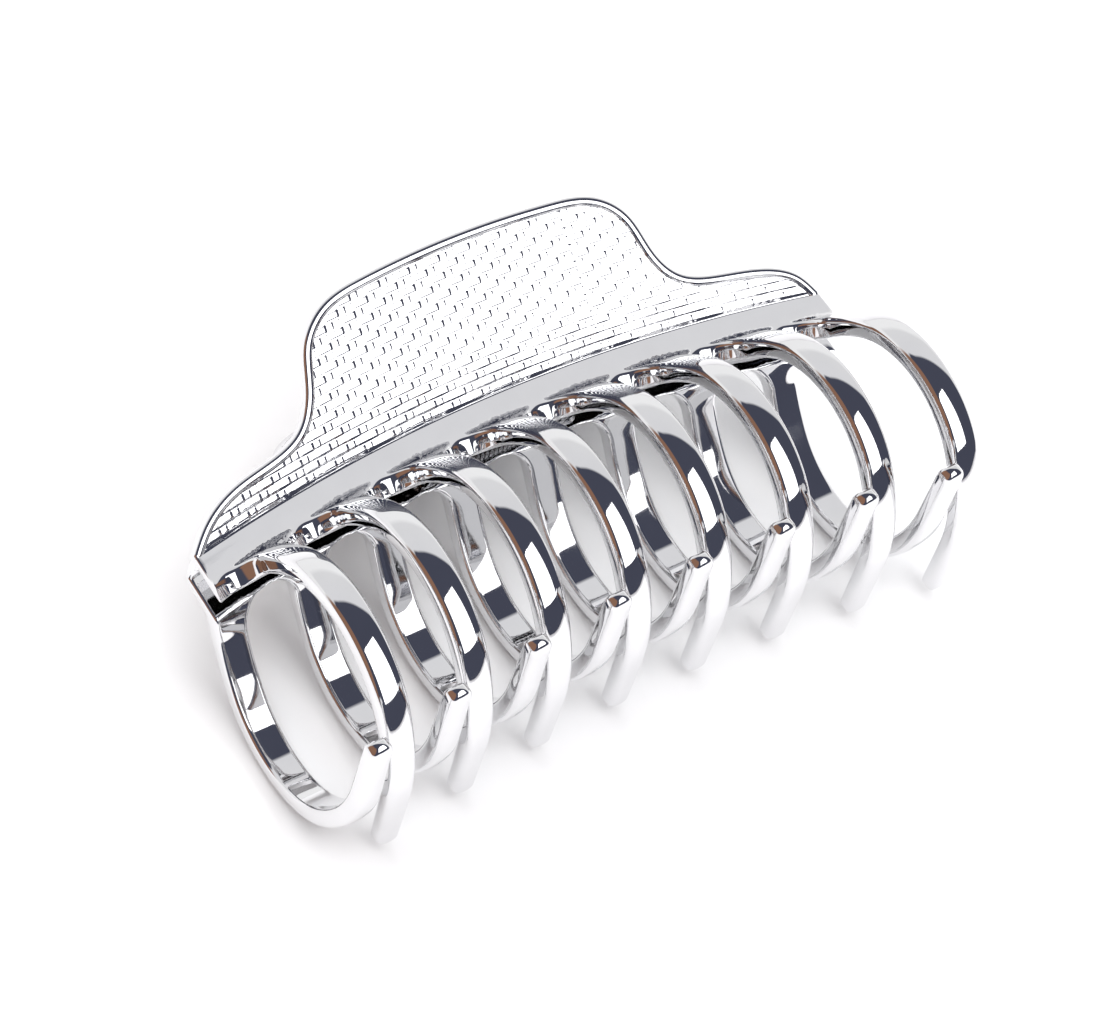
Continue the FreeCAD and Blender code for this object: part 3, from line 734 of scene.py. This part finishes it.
def metal(name, colour, rough_low, rough_high, ripple, ripple_scale, scratch):
    """Bright metal: uneven polish, a faint ripple from the mould and hair-fine rub marks."""
    material = bpy.data.materials.new(name)
    material.use_nodes = True
    nodes = Nodes(material.node_tree)
    output = nodes.add("ShaderNodeOutputMaterial")
    shader = nodes.add("ShaderNodeBsdfPrincipled", Metallic=1.0)
    nodes.link(shader.outputs["BSDF"], output.inputs["Surface"])
    place = nodes.add("ShaderNodeTexCoord")
    polish = nodes.add("ShaderNodeTexNoise", Scale=180.0, Detail=3.0, Roughness=0.55)
    nodes.link(place.outputs["Object"], polish.inputs["Vector"])
    rough = nodes.add("ShaderNodeMapRange")
    rough.inputs["From Min"].default_value = 0.3
    rough.inputs["From Max"].default_value = 0.7
    rough.inputs["To Min"].default_value = rough_low
    rough.inputs["To Max"].default_value = rough_high
    nodes.link(polish.outputs["Fac"], rough.inputs["Value"])
    nodes.link(rough.outputs["Result"], shader.inputs["Roughness"])
    tint = nodes.add("ShaderNodeValToRGB")
    tint.color_ramp.elements[0].position = 0.3
    tint.color_ramp.elements[0].color = (*[c * DULLING for c in colour], 1)
    tint.color_ramp.elements[1].position = 0.7
    tint.color_ramp.elements[1].color = (*colour, 1)
    nodes.link(polish.outputs["Fac"], tint.inputs["Fac"])
    nodes.link(tint.outputs["Color"], shader.inputs["Base Color"])
    wavy = nodes.add("ShaderNodeTexNoise", Scale=ripple_scale, Detail=1.0)
    nodes.link(place.outputs["Object"], wavy.inputs["Vector"])
    first = nodes.add("ShaderNodeBump", Strength=1.0, Distance=ripple)
    nodes.link(wavy.outputs["Fac"], first.inputs["Height"])
    stretch = nodes.add("ShaderNodeMapping")
    stretch.inputs["Scale"].default_value = (1.0, 9.0, 9.0)
    nodes.link(place.outputs["Object"], stretch.inputs["Vector"])
    marks = nodes.add("ShaderNodeTexNoise", Scale=900.0, Detail=2.0)
    nodes.link(stretch.outputs["Vector"], marks.inputs["Vector"])
    second = nodes.add("ShaderNodeBump", Strength=1.0, Distance=scratch)
    nodes.link(marks.outputs["Fac"], second.inputs["Height"])
    nodes.link(first.outputs["Normal"], second.inputs["Normal"])
    nodes.link(second.outputs["Normal"], shader.inputs["Normal"])
    return material


def table_material():
    """Matt white table with a barely visible grain."""
    material = bpy.data.materials.new("white_table")
    material.use_nodes = True
    nodes = Nodes(material.node_tree)
    output = nodes.add("ShaderNodeOutputMaterial")
    shader = nodes.add("ShaderNodeBsdfPrincipled", Roughness=0.7)
    nodes.link(shader.outputs["BSDF"], output.inputs["Surface"])
    place = nodes.add("ShaderNodeTexCoord")
    grain = nodes.add("ShaderNodeTexNoise", Scale=40.0, Detail=4.0)
    nodes.link(place.outputs["Object"], grain.inputs["Vector"])
    tint = nodes.add("ShaderNodeValToRGB")
    tint.color_ramp.elements[0].color = (0.86, 0.86, 0.865, 1)
    tint.color_ramp.elements[1].color = (0.9, 0.9, 0.9, 1)
    nodes.link(grain.outputs["Fac"], tint.inputs["Fac"])
    nodes.link(tint.outputs["Color"], shader.inputs["Base Color"])
    return material


def make_table():
    """White table under the clip."""
    mesh = bpy.data.meshes.new("table_top")
    reach = 1.5
    level = cad_low.z
    mesh.from_pydata([(-reach, -reach, level), (reach, -reach, level), (reach, reach, level),
                      (-reach, reach, level)], [], [(0, 1, 2, 3)])
    mesh.materials.append(table_material())
    table = bpy.data.objects.new("table_top", mesh)
    bpy.context.scene.collection.objects.link(table)


def make_world():
    """Pale walls and ceiling, a dark room in front of the clip and a warm patch on the left."""
    world = bpy.data.worlds.new("studio")
    bpy.context.scene.world = world
    world.use_nodes = True
    nodes = Nodes(world.node_tree)
    output = nodes.add("ShaderNodeOutputWorld")
    back = nodes.add("ShaderNodeBackground", Strength=1.0)
    nodes.link(back.outputs["Background"], output.inputs["Surface"])
    place = nodes.add("ShaderNodeTexCoord")
    parts = nodes.add("ShaderNodeSeparateXYZ")
    nodes.link(place.outputs["Generated"], parts.inputs["Vector"])
    ramp = nodes.add("ShaderNodeValToRGB")
    ramp.color_ramp.elements[0].position = 0.30
    ramp.color_ramp.elements[0].color = (1.05, 1.05, 1.05, 1)
    ramp.color_ramp.elements[1].position = 0.42
    ramp.color_ramp.elements[1].color = (0.86, 0.86, 0.87, 1)
    far = ramp.color_ramp.elements.new(0.85)
    far.color = (0.84, 0.84, 0.86, 1)
    nodes.link(parts.outputs["Z"], ramp.inputs["Fac"])
    colour = ramp.outputs["Color"]
    for axis, low, high, tone in (
            ((0.258, 1.0, -0.775), -0.16, -0.235, (0.07, 0.075, 0.108)),
            (Vector((-0.93, -0.05, 0.36)).normalized(), 0.77, 0.85, (0.30, 0.16, 0.105))):
        facing = nodes.add("ShaderNodeVectorMath", operation="DOT_PRODUCT")
        nodes.link(place.outputs["Generated"], facing.inputs[0])
        facing.inputs[1].default_value = axis
        share = nodes.add("ShaderNodeMapRange")
        share.inputs["From Min"].default_value = low
        share.inputs["From Max"].default_value = high
        nodes.link(facing.outputs["Value"], share.inputs["Value"])
        mix = nodes.add("ShaderNodeMix", data_type="RGBA")
        nodes.link(share.outputs["Result"], mix.inputs[0])
        nodes.link(colour, mix.inputs[6])
        mix.inputs[7].default_value = (*tone, 1)
        colour = mix.outputs[2]
    nodes.link(colour, back.inputs["Color"])


def area_light(name, where, target, size, power, seen):
    """Rectangular lamp aimed at a point; seen says whether chrome mirrors it."""
    lamp = bpy.data.lights.new(name, "AREA")
    lamp.shape = "RECTANGLE"
    lamp.size, lamp.size_y = size
    lamp.energy = power
    obj = bpy.data.objects.new(name, lamp)
    bpy.context.scene.collection.objects.link(obj)
    obj.location = where
    obj.rotation_euler = (Vector(target) - Vector(where)).to_track_quat("-Z", "Y").to_euler()
    obj.visible_glossy = seen


def make_lights():
    """Softbox that the teeth mirror, and a broad overhead fill that they do not."""
    centre = Vector((0.0, 0.0, 0.02))
    azimuth = math.radians(14.0)
    elevation = math.radians(46.0)
    distance = 0.6
    toward = Vector((math.sin(azimuth) * math.cos(elevation),
                     -math.cos(azimuth) * math.cos(elevation), math.sin(elevation)))
    area_light("softbox", centre + toward * distance, centre, (0.46, 0.58), 2.05, True)
    area_light("overhead_fill", (0.0, 0.1, 1.6), (0.0, 0.0, 0.0), (2.2, 2.2), 37.0, False)


def make_camera():
    """Camera at the photograph's viewing angle, a long lens from above the left front."""
    data = bpy.data.cameras.new("camera")
    data.sensor_fit = "HORIZONTAL"
    data.sensor_width = 36.0
    data.lens = 114.35
    data.clip_start = 0.01
    camera = bpy.data.objects.new("camera", data)
    bpy.context.scene.collection.objects.link(camera)
    right = Vector((0.8274, -0.5316, 0.1805)).normalized()
    forward = Vector((0.4260, 0.3850, -0.8190)).normalized()
    up = right.cross(forward).normalized()
    right = forward.cross(up)
    turn = Matrix((right, up, -forward)).transposed()
    place = Matrix.Translation((-0.2190, -0.2001, 0.4332))
    camera.matrix_world = place @ turn.to_4x4()
    bpy.context.scene.camera = camera


def main():
    """Build the whole scene round the CAD frame."""
    chrome = metal("polished_chrome", (0.79, 0.79, 0.8), 0.02, 0.05, 3e-6, 260.0, 4e-7)
    woven = metal("woven_chrome", (0.85, 0.85, 0.86), 0.05, 0.1, 3e-6, 500.0, 8e-7)
    steel = metal("pin_steel", (0.62, 0.61, 0.6), 0.16, 0.3, 2e-6, 900.0, 2e-6)
    wire = metal("spring_wire", (0.6, 0.6, 0.61), 0.14, 0.28, 2e-6, 900.0, 2e-6)
    make_jaw("front_jaw", False, "front_assembly", chrome, woven)
    make_jaw("back_jaw", True, "back_assembly", chrome, woven)
    make_spring(wire)
    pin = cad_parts["hinge_pin"]
    for slot in pin.material_slots:
        slot.material = steel
    make_table()
    make_world()
    make_lights()
    make_camera()
    view = bpy.context.scene.view_settings
    view.view_transform = "Standard"
    view.look = "None"


main()
